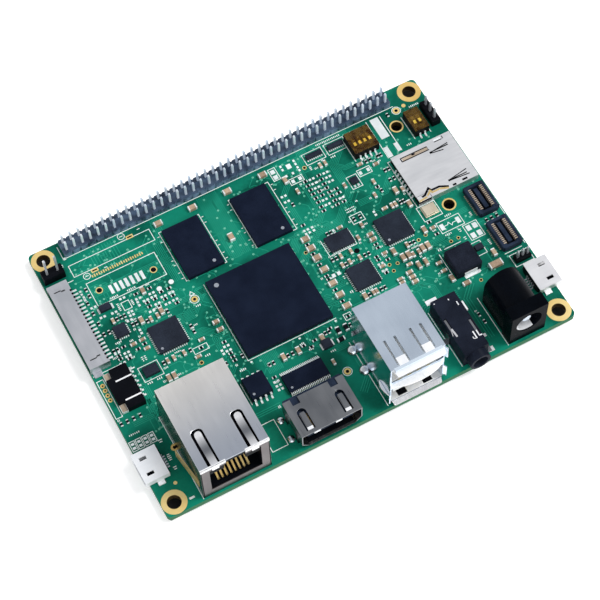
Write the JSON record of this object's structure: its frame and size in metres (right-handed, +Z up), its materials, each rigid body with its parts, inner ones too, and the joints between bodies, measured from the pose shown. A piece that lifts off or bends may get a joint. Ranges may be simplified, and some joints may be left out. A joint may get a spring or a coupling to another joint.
{
  "type": "single board computer",
  "caption": "Small rectangular computer board with a long pin header at the back, edge sockets along the front and sides, flat chips in the middle and corner mounting holes",
  "frame": {"origin": "centre of the four corner mounting holes, on the underside of the board", "axes": "+X along the front edge with the large sockets, +Y from that edge to the pin header, +Z up from the board"},
  "size_m": [0.102, 0.073, 0.0188],
  "materials": {
    "board": "green solder mask over glass fibre board",
    "gold": "thin gold plating",
    "header_plastic": "moulded slate plastic",
    "pin_metal": "tin plated",
    "chip_dark": "moulded epoxy",
    "chip_grey": "moulded epoxy",
    "ferrite": "pressed ferrite",
    "ceramic": "fired ceramic with tinned ends",
    "solder": "bright solder",
    "shell_steel": "nickel plated sheet",
    "shell_dark": "nickel plated sheet",
    "shell_bright": "bright plated sheet",
    "black_plastic": "moulded plastic",
    "gloss_black": "moulded plastic",
    "white_plastic": "moulded plastic",
    "switch_plastic": "moulded plastic",
    "amber_film": "clear amber sealing film",
    "slider_plastic": "moulded plastic",
    "connector_plastic": "moulded plastic"
  },
  "bodies": {
    "board": {"circuit_board": "board", "plated_rings": "gold", "expansion_header_body": "header_plastic", "expansion_header_pins": "pin_metal", "processor": "chip_dark", "memory_chip_left": "chip_dark", "memory_chip_right": "chip_dark", "network_chip": "chip_grey", "sound_chip": "chip_grey", "storage_chip": "chip_grey", "display_driver": "chip_grey", "chip_leads": "pin_metal", "small_chips": "chip_grey", "power_inductor": "ferrite", "crystal": "ceramic", "chip_capacitors": "ceramic", "solder_domes": "solder", "ethernet_shield": "shell_steel", "ethernet_housing": "black_plastic", "ethernet_contacts": "gold", "ethernet_transformer": "black_plastic", "hdmi_shell": "shell_dark", "hdmi_insulator": "black_plastic", "hdmi_contacts": "gold", "usb_shell": "shell_bright", "usb_insulator": "white_plastic", "usb_contacts": "gold", "audio_jack_body": "gloss_black", "audio_jack_contacts": "pin_metal", "power_jack_body": "gloss_black", "power_jack_pin": "pin_metal", "power_jack_terminals": "pin_metal", "micro_usb_left_shell": "shell_bright", "micro_usb_right_shell": "shell_bright", "micro_usb_insulators": "black_plastic", "micro_usb_contacts": "gold", "card_socket_shell": "shell_bright", "card_socket_base": "black_plastic", "card_socket_contacts": "gold", "display_connector_shell": "shell_steel", "display_connector_housing": "black_plastic", "display_connector_contacts": "pin_metal", "switch_four_body": "switch_plastic", "switch_two_body": "switch_plastic", "switch_films": "amber_film", "switch_leads": "pin_metal", "camera_connector_bodies": "connector_plastic", "camera_connector_contacts": "gold", "small_header_bodies": "black_plastic", "small_header_pins": "pin_metal", "wire_connector_body": "black_plastic", "wire_connector_contacts": "pin_metal"},
    "card_eject_slider": {"card_eject_slider": "white_plastic"},
    "switch_four_slider_1": {"switch_four_slider_1": "slider_plastic"},
    "switch_four_slider_2": {"switch_four_slider_2": "slider_plastic"},
    "switch_four_slider_3": {"switch_four_slider_3": "slider_plastic"},
    "switch_four_slider_4": {"switch_four_slider_4": "slider_plastic"},
    "switch_two_slider_1": {"switch_two_slider_1": "slider_plastic"},
    "switch_two_slider_2": {"switch_two_slider_2": "slider_plastic"}
  },
  "joints": [
    {"name": "switch_four_slider_1_slide", "type": "slide", "parent": "board", "child": "switch_four_slider_1", "axis": [0, 1, 0], "range_m": [0, 0.001]},
    {"name": "switch_four_slider_2_slide", "type": "slide", "parent": "board", "child": "switch_four_slider_2", "axis": [0, 1, 0], "range_m": [0, 0.001]},
    {"name": "switch_four_slider_3_slide", "type": "slide", "parent": "board", "child": "switch_four_slider_3", "axis": [0, 1, 0], "range_m": [0, 0.001]},
    {"name": "switch_four_slider_4_slide", "type": "slide", "parent": "board", "child": "switch_four_slider_4", "axis": [0, 1, 0], "range_m": [0, 0.001]},
    {"name": "switch_two_slider_1_slide", "type": "slide", "parent": "board", "child": "switch_two_slider_1", "axis": [0, 1, 0], "range_m": [0, 0.001]},
    {"name": "switch_two_slider_2_slide", "type": "slide", "parent": "board", "child": "switch_two_slider_2", "axis": [0, 1, 0], "range_m": [0, 0.001]},
    {"name": "card_eject_slide", "type": "slide", "parent": "board", "child": "card_eject_slider", "axis": [-1, 0, 0], "range_m": [0, 0.0012], "stiffness_N_per_m": 60}
  ]
}
